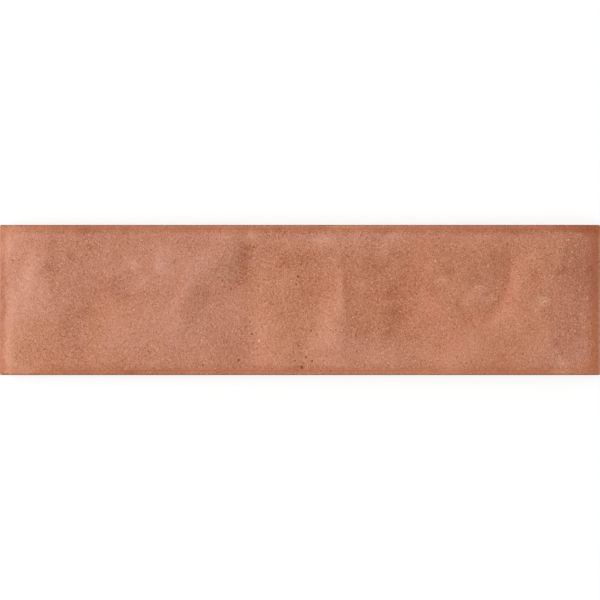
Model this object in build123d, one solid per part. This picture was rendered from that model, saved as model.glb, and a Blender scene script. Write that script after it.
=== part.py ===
from build123d import *

import math
import os

# Glazed ceramic wall tile, one pressed and fired piece, lying on its back.
# Millimetres. X runs along the tile, Y across it and Z up, out of the glazed face.
# The origin is the middle of the plane that the back's ribs lie in.

# Overall size
tile_length = 300.0
tile_width = 75.0
tile_thickness = 9.0  # from the ribs of the back to the level of the face

# Outline and edges
corner_radius = 0.9  # the four corners, seen from the face
arris_radius = 0.6  # where the face turns over into the sides
foot_inset = 0.6  # bevel round the back, left by the lower die
foot_height = 1.5

# Cushion: the face falls away all round towards its edges
cushion_reach = 4.0
cushion_drop = 0.6

# The ends fall a little further than the long sides do
end_reach = 26.0
end_drop = 0.5

# Grid of shallow pockets in the back, which the adhesive keys into
back_rim = 4.5
rib_width = 2.6
pocket_columns = 16
pocket_rows = 4
pocket_depth = 0.9
pocket_corner_radius = 1.6
pocket_draft = 35.0  # degrees that a pocket's walls lean from the vertical

# The points that the waved face is drawn through
face_step_along = 5.0
face_step_across = 3.0
cushion_steps = 3  # closer together, from the top of the cushion to past the edge
face_overhang = 1.2  # the face is drawn this far past the outline, which trims it
face_tolerance = 0.002

# Clay that stands above the face in the blank, until the face is cut out of it
blank_allowance = 4.0

# Waves of the face, as if pressed by hand: each is a soft swelling (height above 0)
# or a soft hollow (below 0), drawn out along one direction.
# (x, y, half length, half width, degrees from X to its length, height)
face_waves = [
    (-146.0, 22.0, 26.0, 17.0, 72.0, -0.42),
    (-104.0, 3.0, 34.0, 11.0, 62.0, -0.30),
    (-76.0, -17.0, 26.0, 14.0, 8.0, 0.30),
    (-70.0, 19.0, 16.0, 14.0, 90.0, 0.24),
    (-60.0, -2.0, 22.0, 8.0, 66.0, 0.20),
    (-47.0, 2.0, 12.0, 8.0, 60.0, -0.28),
    (-36.0, 26.0, 16.0, 7.0, 84.0, 0.26),
    (-28.0, -22.0, 22.0, 9.0, 86.0, -0.42),
    (-26.0, 20.0, 17.0, 5.5, 88.0, -0.36),
    (-7.0, -24.0, 20.0, 7.0, 90.0, 0.26),
    (0.0, -26.0, 14.0, 6.0, 90.0, -0.16),
    (18.0, -12.0, 24.0, 7.5, 86.0, 0.46),
    (29.0, -2.0, 26.0, 7.0, 90.0, -0.30),
    (51.0, -4.0, 18.0, 6.5, 82.0, -0.40),
    (68.0, 12.0, 20.0, 13.0, 74.0, 0.22),
    (86.0, -12.0, 20.0, 7.0, 32.0, -0.30),
    (90.0, 16.0, 14.0, 8.0, 84.0, 0.20),
    (102.0, 12.0, 22.0, 6.5, 78.0, -0.32),
    (124.0, 2.0, 46.0, 11.0, 80.0, 0.24),
]


def wave_height(x, y, wave):
    """Height that one wave adds to the face at (x, y)."""
    wave_x, wave_y, half_length, half_width, angle, height = wave
    turn = math.radians(angle)
    along = (x - wave_x) * math.cos(turn) + (y - wave_y) * math.sin(turn)
    across = (y - wave_y) * math.cos(turn) - (x - wave_x) * math.sin(turn)
    return height * math.exp(-((along / half_length) ** 2) - (across / half_width) ** 2)


def edge_fall(distance, reach, drop):
    """How far the face has fallen at this distance inside an edge."""
    return drop * max(0.0, 1.0 - distance / reach) ** 2


def face_height(x, y):
    """Height of the glazed face above the ribs of the back at (x, y)."""
    from_end = tile_length / 2 - abs(x)
    from_side = tile_width / 2 - abs(y)
    cushion = math.hypot(
        edge_fall(from_end, cushion_reach, cushion_drop),
        edge_fall(from_side, cushion_reach, cushion_drop),
    )
    waves = sum(wave_height(x, y, wave) for wave in face_waves)
    return tile_thickness + waves - cushion - edge_fall(from_end, end_reach, end_drop)


def grid_lines(size, step):
    """Places of the face's points across one side of the tile, from edge to edge."""
    inner = size / 2 - cushion_reach
    count = math.ceil(2 * inner / step)
    middle = [-inner + 2 * inner * i / count for i in range(count + 1)]
    outer_step = (cushion_reach + face_overhang) / cushion_steps
    outer = [inner + outer_step * (i + 1) for i in range(cushion_steps)]
    return [-place for place in reversed(outer)] + middle + outer


def make_face_surface():
    """The waved and cushioned face, a little larger than the tile."""
    columns = grid_lines(tile_length, face_step_along)
    rows = grid_lines(tile_width, face_step_across)
    points = [[(x, y, face_height(x, y)) for y in rows] for x in columns]
    return Face.make_surface_from_array_of_points(
        points, tol=face_tolerance, min_deg=3, max_deg=3
    )


def make_blank():
    """The pressed block before its face is cut, with its corners and its foot formed."""
    outline = RectangleRounded(tile_length, tile_width, corner_radius)
    block = extrude(outline, amount=tile_thickness + blank_allowance)
    foot_edges = block.edges().group_by(Axis.Z)[0]
    return chamfer(foot_edges, length=foot_height, length2=foot_inset)


def make_pockets():
    """The studs of the lower die, which press the grid of pockets into the back."""
    inner_length = tile_length - 2 * back_rim
    inner_width = tile_width - 2 * back_rim
    pocket_length = (inner_length - (pocket_columns - 1) * rib_width) / pocket_columns
    pocket_width = (inner_width - (pocket_rows - 1) * rib_width) / pocket_rows
    mouth = RectangleRounded(pocket_length, pocket_width, pocket_corner_radius)
    pocket = extrude(mouth, amount=pocket_depth, taper=pocket_draft)
    places = GridLocations(
        pocket_length + rib_width, pocket_width + rib_width, pocket_columns, pocket_rows
    )
    return [place * pocket for place in places]


def make_tile():
    """The whole tile: the blank with its face, its arris and the pockets of its back."""
    above_face = extrude(
        make_face_surface(), amount=tile_thickness + blank_allowance, dir=(0, 0, 1)
    )
    tile = make_blank() - above_face
    face = tile.faces().filter_by(GeomType.BSPLINE).sort_by(Axis.Z)[-1]
    tile = tile.fillet(arris_radius, face.outer_wire().edges())
    return tile - make_pockets()


os.makedirs("parts", exist_ok=True)
wall_tile = make_tile()
export_step(wall_tile, "parts/wall_tile.step")
print("volume", round(wall_tile.volume / 1000, 1), "cm3", wall_tile.bounding_box())
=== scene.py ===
import math

import bmesh
import bpy
import numpy as np
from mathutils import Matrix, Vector, noise


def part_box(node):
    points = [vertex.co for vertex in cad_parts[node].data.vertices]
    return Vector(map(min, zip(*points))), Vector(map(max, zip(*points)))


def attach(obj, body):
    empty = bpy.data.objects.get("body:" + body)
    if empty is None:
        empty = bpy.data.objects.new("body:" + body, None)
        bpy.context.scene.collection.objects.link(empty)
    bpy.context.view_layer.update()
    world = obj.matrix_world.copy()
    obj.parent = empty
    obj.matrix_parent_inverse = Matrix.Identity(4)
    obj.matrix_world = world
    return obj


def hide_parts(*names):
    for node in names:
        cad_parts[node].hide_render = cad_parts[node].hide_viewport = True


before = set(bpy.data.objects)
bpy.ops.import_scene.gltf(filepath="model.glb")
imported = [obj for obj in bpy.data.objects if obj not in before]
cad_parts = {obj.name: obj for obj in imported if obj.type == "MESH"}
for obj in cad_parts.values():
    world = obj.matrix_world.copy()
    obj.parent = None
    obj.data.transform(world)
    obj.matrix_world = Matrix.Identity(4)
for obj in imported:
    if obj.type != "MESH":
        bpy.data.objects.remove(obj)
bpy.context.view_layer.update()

tileLow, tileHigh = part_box("wall_tile")
mm = 0.001
print("frame loaded")


# Camera: straight above the face with a long lens, as the photo was taken.
# 600 px show 300 mm of the tile's outline, so 2 px make a millimetre.
cameraSetup = {
    "lens": 100.0,
    "sensor": 36.0,
    "photoWidth": 299.5,  # mm that the photo shows, so that the ends just fill it
    "outlineLevel": 8.0,  # height of the tile's rim, where its outline is read
}


def addCamera(setup):
    camera = bpy.data.objects.new("photoCamera", bpy.data.cameras.new("photoCamera"))
    camera.data.lens = setup["lens"]
    camera.data.sensor_width = setup["sensor"]
    distance = setup["photoWidth"] * setup["lens"] / setup["sensor"]
    camera.location = (0, 0, (setup["outlineLevel"] + distance) * mm)
    bpy.context.scene.collection.objects.link(camera)
    bpy.context.scene.camera = camera


addCamera(cameraSetup)
print("camera set")


# Light: a soft key from the left and a white room. The two shares add up to 1, the level
# at which a colour renders about as it is written.
lightSetup = {
    "keyShare": 0.5,
    "keyElevation": 32.0,  # degrees above the floor
    "keyDistance": 5.0,  # m
    "keySize": 4.5,  # m across
    "roomShare": 0.5,
    "roomColour": "#FFFFFF",
}

floorSetup = {
    "size": 8.0,  # m
    "gap": 0.02,  # mm under the tile
    "paperColour": "#909090",
    "paperGlow": 0.74,  # lifts the lit paper to white where it is seen
}


def hexToLinear(code):
    # sRGB hex to the linear colour that a shader takes
    channels = [int(code[place : place + 2], 16) / 255 for place in (1, 3, 5)]
    linear = [c / 12.92 if c <= 0.04045 else ((c + 0.055) / 1.055) ** 2.4 for c in channels]
    return (*linear, 1.0)


def addNode(tree, kind, sockets=None, **settings):
    # settings are the node's own properties. A socket takes a value, another node's output,
    # or a node, which stands for its first output.
    node = tree.nodes.new("ShaderNode" + kind)
    for name, value in settings.items():
        setattr(node, name, value)
    for name, value in (sockets or {}).items():
        if isinstance(value, bpy.types.Node):
            value = value.outputs[0]
        if isinstance(value, bpy.types.NodeSocket):
            tree.links.new(value, node.inputs[name])
        else:
            node.inputs[name].default_value = value
    return node


def emptyMaterial(name):
    material = bpy.data.materials.new(name)
    material.use_nodes = True
    material.node_tree.nodes.clear()
    return material


def seenDirectly(tree):
    # 1 for what the camera, a reflection or a view through glass shows, 0 for light on surfaces
    path = addNode(tree, "LightPath")
    mirrored = addNode(tree, "Math", {
        0: path.outputs["Is Camera Ray"], 1: path.outputs["Is Glossy Ray"]}, operation="MAXIMUM")
    return addNode(tree, "Math", {
        0: mirrored, 1: path.outputs["Is Transmission Ray"]}, operation="MAXIMUM")


def addKeyLamp(setup):
    lamp = bpy.data.objects.new("keyLamp", bpy.data.lights.new("keyLamp", "AREA"))
    rise = math.radians(setup["keyElevation"])
    reach = setup["keyDistance"]
    edgeReach = math.hypot(reach, setup["keySize"] / 2)
    lamp.location = (-reach * math.cos(rise), 0, reach * math.sin(rise))
    lamp.rotation_euler = Vector(lamp.location).to_track_quat("Z", "Y").to_euler()
    lamp.data.shape = "DISK"
    lamp.data.size = setup["keySize"]
    # The power with which a disk this wide gives a level surface its share
    lamp.data.energy = setup["keyShare"] * math.pi**2 * edgeReach**2 / math.sin(rise)
    bpy.context.scene.collection.objects.link(lamp)


def addRoom(setup):
    world = bpy.data.worlds.new("whiteRoom")
    world.use_nodes = True
    tree = world.node_tree
    tree.nodes.clear()
    level = addNode(tree, "MapRange", {
        "Value": seenDirectly(tree), "To Min": setup["roomShare"], "To Max": 1.0})
    background = addNode(tree, "Background", {
        "Color": hexToLinear(setup["roomColour"]), "Strength": level})
    addNode(tree, "OutputWorld", {"Surface": background})
    bpy.context.scene.world = world


def studioPaper(setup):
    # White seamless paper: matt, and lifted to white only where it is looked at
    material = emptyMaterial("studioPaper")
    tree = material.node_tree
    paper = addNode(tree, "BsdfDiffuse", {"Color": hexToLinear(setup["paperColour"])})
    glow = addNode(tree, "Math", {
        0: seenDirectly(tree), 1: setup["paperGlow"]}, operation="MULTIPLY")
    shine = addNode(tree, "Emission", {"Strength": glow})
    both = addNode(tree, "AddShader", {0: paper, 1: shine})
    addNode(tree, "OutputMaterial", {"Surface": both})
    return material


def addFloor(setup):
    half = setup["size"] / 2
    level = -setup["gap"] * mm
    mesh = bpy.data.meshes.new("studioFloor")
    corners = [(half * x, half * y, level) for x, y in ((-1, -1), (1, -1), (1, 1), (-1, 1))]
    mesh.from_pydata(corners, [], [(0, 1, 2, 3)])
    mesh.materials.append(studioPaper(setup))
    floor = bpy.data.objects.new("studioFloor", mesh)
    bpy.context.scene.collection.objects.link(floor)


addKeyLamp(lightSetup)
addRoom(lightSetup)
addFloor(floorSetup)
bpy.context.scene.view_settings.view_transform = "Standard"
print("light and floor set")


# Body of the tile, in millimetres, as in the solid that it stands for
tileBody = {
    "halfLength": (tileHigh[0] - tileLow[0]) / 2 / mm,
    "halfWidth": (tileHigh[1] - tileLow[1]) / 2 / mm,
    "faceLevel": 9.0,
    "cornerRadius": 0.9,
    "arrisRadius": 0.6,
    "cushionReach": 4.0,
    "cushionDrop": 0.6,
    "endReach": 26.0,
    "endDrop": 0.5,
    "footInset": 0.6,
    "footHeight": 1.5,
    "bareRings": (0.3, 0.7),  # rings on the bare clay, as shares of the way from lip to foot
    "bevelSoftening": (0.04, 0.1),  # roundness of the foot bevel's edges: across and along
    "footSoftening": 0.12,  # and up the bevel at the foot
    "cellSize": 0.72,  # spacing of the face's mesh
    "cornerCells": 3,  # cells in half of a corner
    "arrisCells": 6,
    "sharpAngle": 35.0,  # an edge bent by more degrees than this is shaded sharp
}

# Waves of the face, as if pressed by hand: the same as the solid's
# (x, y, half length, half width, degrees from X to its length, height)
faceWaves = [
    (-146, 22, 26, 17, 72, -0.42), (-104, 3, 34, 11, 62, -0.3), (-76, -17, 26, 14, 8, 0.3),
    (-70, 19, 16, 14, 90, 0.24), (-60, -2, 22, 8, 66, 0.2), (-47, 2, 12, 8, 60, -0.28),
    (-36, 26, 16, 7, 84, 0.26), (-28, -22, 22, 9, 86, -0.42), (-26, 20, 17, 5.5, 88, -0.36),
    (-7, -24, 20, 7, 90, 0.26), (0, -26, 14, 6, 90, -0.16), (18, -12, 24, 7.5, 86, 0.46),
    (29, -2, 26, 7, 90, -0.3), (51, -4, 18, 6.5, 82, -0.4), (68, 12, 20, 13, 74, 0.22),
    (86, -12, 20, 7, 32, -0.3), (90, 16, 14, 8, 84, 0.2), (102, 12, 22, 6.5, 78, -0.32),
    (124, 2, 46, 11, 80, 0.24),
]

# Folds of the face, sharper than the waves: a crest (height above 0) or a crease (below 0)
faceFolds = [
    (-134, 11, 18, 5, 80, 0.12), (-142, -20, 14, 4, 88, 0.1), (-55, 4, 10, 3.5, 58, 0.11),
    (-23.8, 17, 11, 3.2, 88, -0.08), (21.3, 0, 17, 4, 90, 0.13), (103.8, 17, 9, 3.5, 85, -0.11),
    (100.5, 3, 7, 3, 70, -0.09), (94, -6, 6, 3, 35, -0.07), (130.5, 22, 12, 4, 72, 0.1),
    (126, -5, 16, 3.5, 92, 0.1),
]
foldRounding = 0.25  # share of a fold's half width over which its crest is rounded

# Ripples that the glaze lies in, between the waves: (size across, height, layer of the noise)
faceRipples = [(14.0, 0.03, 3.7), (6.0, 0.012, 8.7), (2.6, 0.003, 13.7)]


def turned(x, y, patchX, patchY, halfLength, halfWidth, angle):
    # Distances from a patch's middle in its half lengths along it and its half widths across
    turn = math.radians(angle)
    along = (x - patchX) * math.cos(turn) + (y - patchY) * math.sin(turn)
    across = (y - patchY) * math.cos(turn) - (x - patchX) * math.sin(turn)
    return along / halfLength, across / halfWidth


def waveHeight(x, y, wave):
    along, across = turned(x, y, *wave[:5])
    return wave[5] * math.exp(-(along**2) - across**2)


def foldHeight(x, y, fold):
    along, across = turned(x, y, *fold[:5])
    fromCrest = math.hypot(across, foldRounding) - foldRounding
    return fold[5] * math.exp(-(along**2) - fromCrest)


def rippleSum(x, y, ripples):
    # Smooth noise, with a bump to every two sizes or so
    total = 0.0
    for size, amount, layer in ripples:
        total += amount * noise.noise(Vector((x / size, y / size, layer)))
    return total


def between(start, end, share):
    # The value at this share of the way from start to end
    return start + (end - start) * share


def edgeFall(distance, reach, drop):
    return drop * max(0.0, 1.0 - distance / reach) ** 2


def edgeDistances(x, y):
    # How far in from the nearer end and from the nearer long side
    return tileBody["halfLength"] - abs(x), tileBody["halfWidth"] - abs(y)


def faceHeight(x, y):
    fromEnd, fromSide = edgeDistances(x, y)
    reach, drop = tileBody["cushionReach"], tileBody["cushionDrop"]
    cushion = math.hypot(edgeFall(fromEnd, reach, drop), edgeFall(fromSide, reach, drop))
    height = tileBody["faceLevel"] - cushion
    height -= edgeFall(fromEnd, tileBody["endReach"], tileBody["endDrop"])
    height += sum(waveHeight(x, y, wave) for wave in faceWaves)
    height += sum(foldHeight(x, y, fold) for fold in faceFolds)
    return height + rippleSum(x, y, faceRipples)


# Glaze: how deep it lies, and how the fire has turned it from pink to ochre.
# A wander or stray is a list of ripples, as above.
glazeCoat = {
    # Widths of the thin band along the edges, the painted shade that darkens it at its inner side,
    # and how red it is there
    "bandCore": {"left": 1.5, "right": 4.0, "lower": 2.3, "upper": 2.0},
    "bandShadow": {"left": 0.0, "right": 0.04, "lower": 0.14, "upper": 0.19},
    "bandBlush": {"left": 0.2, "right": 0.3, "lower": 0.12, "upper": 0.45},
    "bandFade": 1.3,  # over this width it then gets its full depth
    "bandCorner": 8.0,  # radius that rounds the band's inner corners
    "bandShadowWidth": 1.2,
    "bandStray": 0.4,  # how far the band's outline strays
    "cornerBlend": 4.0,  # width over which one side's values give way to the next side's
    "cloudStray": 1.1,  # how far the clouds' outlines stray
    "strayAlong": [(7.0, 1.0, 61.0), (2.2, 0.4, 65.0)],  # the ripples that both follow
    "strayAcross": [(7.0, 1.0, 73.0), (2.2, 0.4, 77.0)],
    "cloudContrast": 0.63,  # how far a cloud's amount moves its tone
    "thinGrain": 0.6,  # how much stronger its grain is where a cloud is thin
    "bandGrain": 0.55,  # and how much weaker it is on the band
    "grainWander": [(1.8, 0.9, 110.0)],  # of the grain's strength
    "fireWander": [(6.0, 0.3, 90.0), (2.4, 0.3, 90.0)],  # of the glaze's ochre
    "arrisThinAndShade": {"left": 0.08, "right": -0.2, "lower": 1.1, "upper": 0.6},  # how much darker it is: thin glaze and painted shade, most along the lower and upper arris; below 0 paler
    "arrisWidth": 0.6,  # along the very edge, over this width
    "lipLevel": 6.3,  # where it ends on the sides, above the back
    "lipWander": [(9.0, 0.9, 31.0), (2.5, 0.45, 47.0)],
    "lipStep": 0.14,  # its thickness where it ends
    "lipHeight": 0.16,
    "lipRound": 0.35,  # share of both at which its edge turns
    "glazedRings": (0.4, 0.8, 1.0),  # rings on the sides, as shares of the way from arris to lip
}

# Clouds of deeper, paler glaze (above 0) and of thin, darker glaze (below 0). They also carry
# painted light and shade of the face: paler where its slopes face the light from the left, darker
# where they turn away
# (x, y, half length, half width, percent, degrees from X to its length, crispness of its edge)
# The last two are left out where they are 0 and 1.
depthAndShadeClouds = [
    # The pale left end: painted light and sheen on its slope toward the light
    (-146.5, 28, 9, 4.2, 44, 80, 1.5), (-136, 11, 12, 4, 30, 84, 1.5),
    (-145, -5, 10, 4, 32, 78, 1.5), (-146.5, -25, 13, 3.4, 54, 94, 1.5),
    (-140, 8, 34, 12, 26, 84, 1.3), (-129, 12, 18, 3.5, 14, 88), (-132, -9, 12, 6, 10, 75),
    (-134, -22, 8, 5, -10, 80),
    # Thin places beside it
    (-125, 16, 4.2, 3.2, -28, 0, 1.3), (-123, 28, 4, 2.5, -18, 90), (-114, 22, 2.8, 2.3, -26, 90),
    (-104, 26, 2.6, 2.2, -16), (-110, 5, 32, 10, -10, 78), (-92, 6, 5, 3.4, -26, 70),
    (-99, 6, 7, 3, -16, 15), (-87, 2, 4.5, 3, -24, 20), (-106.5, -5, 3.6, 2.4, -20, 50),
    (-114, -9, 9, 5, -14, 60), (-118, -14, 5, 2.4, -12, 70), (-112, -19, 6, 3, -14, 80),
    (-112, -23, 2, 2, -18), (-119, -24, 3, 1.6, -12, 70),
    # Deep pools left of the middle
    (-91, -14, 14, 9, 12, 70, 1.5), (-103, -30, 4, 3, 14), (-83.5, 18, 3.4, 2.2, 20, 125),
    (-79, 9, 4, 2, 24, 70), (-91, 20, 4, 2.4, -12, 80), (-70.5, 20, 6, 3, 18, 88),
    (-70, 14.5, 2, 2, 14), (-66, 18, 11, 6, 16, 90), (-66, -9, 9, 6, 12, 80),
    (-54, 11, 5, 2.4, 22, 60), (-58.5, 5, 2.6, 2, 20, 30), (-62, -2, 4.5, 1.8, 20, 65),
    (-49, 20, 8, 6, 16, 60), (-38, 32.5, 5.5, 2.6, 30), (-24, 32, 3, 2.8, 42),
    # Thin places left of the middle
    (-47, 3, 4.4, 3.8, -28, 95, 1.3), (-51, -5, 9, 6, -14, 60), (-42, -0.5, 3.6, 3.6, -16),
    (-27.9, 22, 8, 3, -38, 86, 1.4), (-28.2, 11, 4, 2.8, -20, 92),
    (-28.5, 18, 12, 6.5, -8, 88, 1.3), (-37, 13, 10, 6, -16, 70), (-35, -26, 12, 7, -12, 90),
    (-65, 4, 3, 2.4, -12),
    # The middle
    (-45, -27, 6, 2.5, 12, 80), (-19, -15, 10, 4, 28, 92), (-14, -29, 8, 4.5, 20),
    (-18.5, 12, 8, 2.4, 14, 88), (-5, 28, 4, 3, 14, 60), (-17, 24, 4, 3, -16),
    (-7, 19.5, 4, 3, -18, 20), (0, 18, 8, 7, -20), (3, 21, 3.5, 3, -14), (4, 5, 9, 4, -20, 80),
    (12, 30, 8, 4, 34), (28, 31, 4, 3, 24, 90), (46, 32, 6, 2.6, 28), (42, 26, 4, 3, 12, 90),
    # Painted light on the left side of the crest near x 21, and painted shade on its right side
    (19.3, 2, 11.5, 2.5, 30, 90, 1.5), (14.5, -9.5, 11, 6, 27, 76, 1.3),
    (20.3, 9, 6, 0.9, 12, 90, 1.5), (22.9, 9, 7, 0.9, -12, 90, 1.5), (12.5, -20, 9, 6, 28, 15, 1.2),
    (14, -30, 9, 4, 16),
    # The thin field right of the crest, darker also with painted shade where the face slopes away
    # from the light
    (40, 1.5, 18.3, 22.5, -19, 0, 4), (48.5, -7, 5, 4.4, -28, 80, 1.2), (51, -11, 2.5, 2, -14),
    (45.5, 4, 6, 2.6, -16, -15), (45.5, -16.5, 2.6, 2.2, -16), (34, 18, 4, 1.8, -20, 90),
    (39, 14, 4, 1.6, -20, 15), (48, 22, 3, 2, -18), (54, 15, 5, 4, -10, 30),
    (57, -18, 2.6, 2, -12, 90), (29, -16, 6, 3.5, -10), (36, 2, 3, 1.6, -12, 20),
    (31, 8, 3, 2, 20, 20), (47.5, 17, 2, 3.4, 24), (41, 23, 2, 3, 16), (37, -18, 1.8, 2.2, 28),
    (29, 0, 2, 3, 14), (41, 11, 3, 1.6, 14), (50, -28, 28, 5, 12), (73, -29, 6, 4, 18),
    (64, 16, 4.5, 3, 20, 60), (71, 9.5, 3.4, 2.6, 30), (66, 5, 2, 2, -16), (74, 14, 3, 2, -30, 90),
    (71, -15, 3, 2.5, 12, 90),
    # Inside the arc
    (92, 17, 12, 11, -14, 0, 3), (88, 10, 3, 2, -16), (97, 23, 3, 2.4, -12, 80),
    (86, 29.5, 9, 4, 14), (89, 6, 3, 2, 24, 10), (84, 1, 4, 3, 24, 60), (94, 1, 4, 1.8, 16),
    (80.5, -5, 4, 1.6, -26, 110),
    # The arc: painted shade along its crease, and painted light on the pale band outside it
    (103, 24, 5, 2.2, -18, 75, 1.3), (103, 16, 6.5, 2.1, -23, 88, 2), (102, 8, 5, 1.7, -24, 80, 2),
    (98.7, -0.5, 4.4, 1.5, -25, 62, 2), (93, -5.5, 5, 2.2, -16, 30, 1.3), (112, 18, 6, 3, 14, 60),
    (107.6, 8, 8, 3, 23, 80, 1.5), (103, -3, 6, 3, 18, 60), (98, -10, 6, 3, 20, 40),
    # Right of it; the dark cloud at the right end is painted shade where the face falls away from
    # the light
    (147.5, 0, 38, 4.5, -34, 90, 2), (147.5, -20, 15, 3, 14, 90, 1.5), (150, -2, 60, 1.25, 50, 90),
    (-150, 0, 80, 2, 27, 90, 1.5), (144, 12, 10, 2.2, -14, 90), (115.5, 21.5, 3.2, 2.6, 18),
    (117, 13, 2.8, 2.4, -30, 90, 1.5), (121, -0.5, 3.6, 2, 22), (118, -5, 1.6, 1.6, 28),
    (125.5, -5.5, 11, 0.9, -28, 92, 1.5), (112, -20, 18, 9, 8), (106, -20, 3, 2, -14),
    (78, -24, 9, 7, 14, 60), (130, 25, 9, 1.8, 16, 72), (139, 20, 13, 7, -30, 80, 2.5),
    (134, -5, 26, 7, -14, 92, 3), (132, 15, 2.8, 2.2, -20), (142, 5, 10, 3, -14, 90),
    (131, -30, 4, 3, 21),
    # Smaller clouds of the left half
    (-116.2, -9.3, 2.2, 2.2, 11), (-43.8, 34.7, 3.5, 1.6, -14), (-19.5, 34.3, 3, 1.8, -13),
    (-80.8, 34.7, 4, 1.6, 10), (-132.2, -34.8, 4, 1.6, 9), (-149.8, 34.7, 1.6, 2.5, -14),
    (-53, 8.5, 3, 2.2, 12), (-88.5, 5.5, 3.4, 2, -10), (-102, -2, 1.8, 1.8, -12),
    (-149.8, 0, 80, 3, -60, 90, 2), (-141, 15, 2, 2, -14), (-137, 19.5, 3, 2.5, -14),
    (-131.5, 13.5, 2.2, 2, -16), (-125, 17, 10, 4.5, -16, 90, 1.5), (-131, -10, 4, 2.6, -8),
    (-141.5, -16, 6, 3, 14, 90), (-112.5, 12.5, 2.6, 2.6, 20), (-111, -3.5, 2.6, 2.4, 16),
    (-122, -4, 6, 5, 8), (-96.5, 22, 5, 2.2, 13, 80), (-85.5, 14.5, 5, 1.6, -15, 92),
    (-70, 3.2, 10, 1.8, -10, 2), (-76, -5, 4.5, 2.6, 13, 70), (-62.2, -14, 7, 3, 17, 85),
    (-69.5, -22.5, 2.2, 2, 15), (-90, -30, 4, 2.5, -20, 90), (-109, -25.3, 4, 2.4, -15, 45),
    (-57, 12.5, 2.6, 1.8, 13, 50), (-35.5, 21, 3.2, 2.2, 18), (-36, 28, 5, 3, 7, 90),
    (-50, 28, 10, 2, -9), (-41, 15.5, 7, 3.2, -9), (-38.5, 5, 3, 1.8, -12, 30),
    (-33, 6, 2.6, 3, -15), (-32, -4, 6.5, 5, 9), (-23.4, 24.3, 4.4, 2.2, -27, 110),
    (-24.3, 13.8, 3.2, 2.6, -22), (-14, -22.5, 3.4, 2.6, 14, 60), (-5.5, -22, 6.5, 3, 13, 75),
    (-9.5, 7, 6, 3.5, 13, 60), (-103, 8, 2.6, 3, 15), (-147, 13.5, 2, 3.4, 13),
    (-148, 24, 2, 2.4, 12), (-138.5, 33, 3.2, 2.2, 15), (-147, 35.5, 2.4, 2.2, -15),
    (-148.6, -8.5, 3, 4.4, -22, 0, 1.5), (-149.5, -22, 1.6, 6, -12, 0, 1.5),
    (-149, -17, 3, 11, -16, 0, 2), (-146.8, -1, 1.8, 9, -10, 0, 1.5), (-149, 1.5, 2.2, 2, -24),
    (-146.5, -36, 2.4, 2.4, -18), (-134.5, 32, 1.8, 4, -11), (-138, 11.5, 2.2, 3.4, -15),
    (-137.3, 17, 1.9, 6, -10), (-121.8, 10, 1.5, 4.5, -14), (-126, 7, 2.4, 4, 11),
    (-118, 28, 7.5, 1.9, -13, 0, 1.3), (-86, 29.5, 2, 5, -9), (-81.5, 16.5, 2.4, 3, 10),
    (-66, 25, 4, 3, 8), (-58, 19, 3, 4.2, 12), (-23.5, 12, 4, 3.6, -10), (-16.5, 18, 1.6, 3.8, -13),
    (-21.5, -13, 1.7, 4, 11), (-42.2, -20.5, 2.2, 3.6, -12), (-54, -22.4, 3.2, 1.6, 12),
    (-77, -20.8, 2.6, 2.2, 15), (-79, -16, 6, 3, 7), (-78, -15, 18, 12, 4, 0, 2),
    (-60.5, -33.5, 2.6, 2.6, -10), (-121, -33.6, 3, 1.8, -14), (-112.5, -33.5, 5, 2.4, -8),
    (-95.5, -33, 4.6, 2.2, -8), (-84, -37, 4, 1.4, -12), (-125.3, -23.5, 2.6, 2.6, 10),
    (-28.5, -29, 2.6, 5, -15), (-16, -34, 2, 2, -14), (-4, -24, 2.2, 3, 12), (-4, -34, 3.4, 3, -11),
    (-106, 31, 4.2, 2, -15, -20), (-77.5, -27, 5, 1.6, -10, -8), (-62.5, -23.5, 2.6, 2.2, -12),
    (-131, -34.5, 7, 2.6, 16), (-96.5, -7, 4, 3.4, 8), (-72, 12, 4.5, 7.5, 7),
    (-103, 15.5, 3.4, 2.6, 9), (-83.5, -14, 6, 2, -8),
    # Smaller clouds of the right half
    (62.6, -34.8, 3, 1.6, 15), (76.2, -34.8, 3.5, 1.6, 9), (129.2, -34.8, 3.5, 1.6, 11),
    (122.8, -34.8, 3, 1.6, -10), (64.2, -21.3, 2.6, 2.6, 10), (87.2, 18.7, 2.4, 2.4, -10),
    (149.8, 13.2, 1.4, 3.5, -12), (-2.8, 28.2, 3, 3, -7), (8.5, 20.5, 2.4, 4, -11),
    (12.2, 14, 2.2, 5, 14, 0, 1.5), (35.2, 28, 1.8, 2.8, -16), (35, 13.5, 4.6, 1.7, 12, -32),
    (34, 5.2, 4.2, 2.2, -10, -38), (11.3, 3.8, 2.3, 2.6, 13), (46, -3.8, 2.2, 3, 14),
    (36, -10.3, 2, 2, -18), (25.5, -5.5, 4, 5, 9), (27.4, -16.5, 1.8, 4, 20),
    (31.7, -18.2, 2, 2, -15), (46.3, -18, 2.3, 3.2, -13), (55.5, -1.5, 4.8, 2, -9),
    (66, -18.5, 4.6, 4, 10), (76, 4, 1.8, 4.4, 22, 0, 1.5), (86.4, 5.2, 1.8, 1.7, -18),
    (92, 4.6, 2.2, 1.8, -16), (102.3, 4.4, 3.4, 3.2, 15), (102.8, 21.5, 1.9, 3.2, 18),
    (61.5, 33, 2.4, 3.8, 17), (76.8, 32.2, 2.4, 3.6, -13), (84.5, 33, 4, 2.8, -16),
    (109, 16, 4, 1.7, -14, -52), (119.5, 34.8, 7, 1.9, -14), (144.5, 34, 4.2, 2, -18),
    (133, 26, 5.4, 1.7, -17, 70), (141.6, 9.8, 2.2, 3.8, -12), (128, -6.8, 1.3, 3.5, 12),
    (118.5, -6, 2, 2.2, -12, 0, 1.5), (112, 4.5, 3, 3.5, 12), (119, -24, 2.4, 3.4, 9),
    (127, -23.8, 1.9, 3.2, -14), (132.3, -34, 1.9, 3, 12), (137.3, -34, 3, 1.7, -13),
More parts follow.
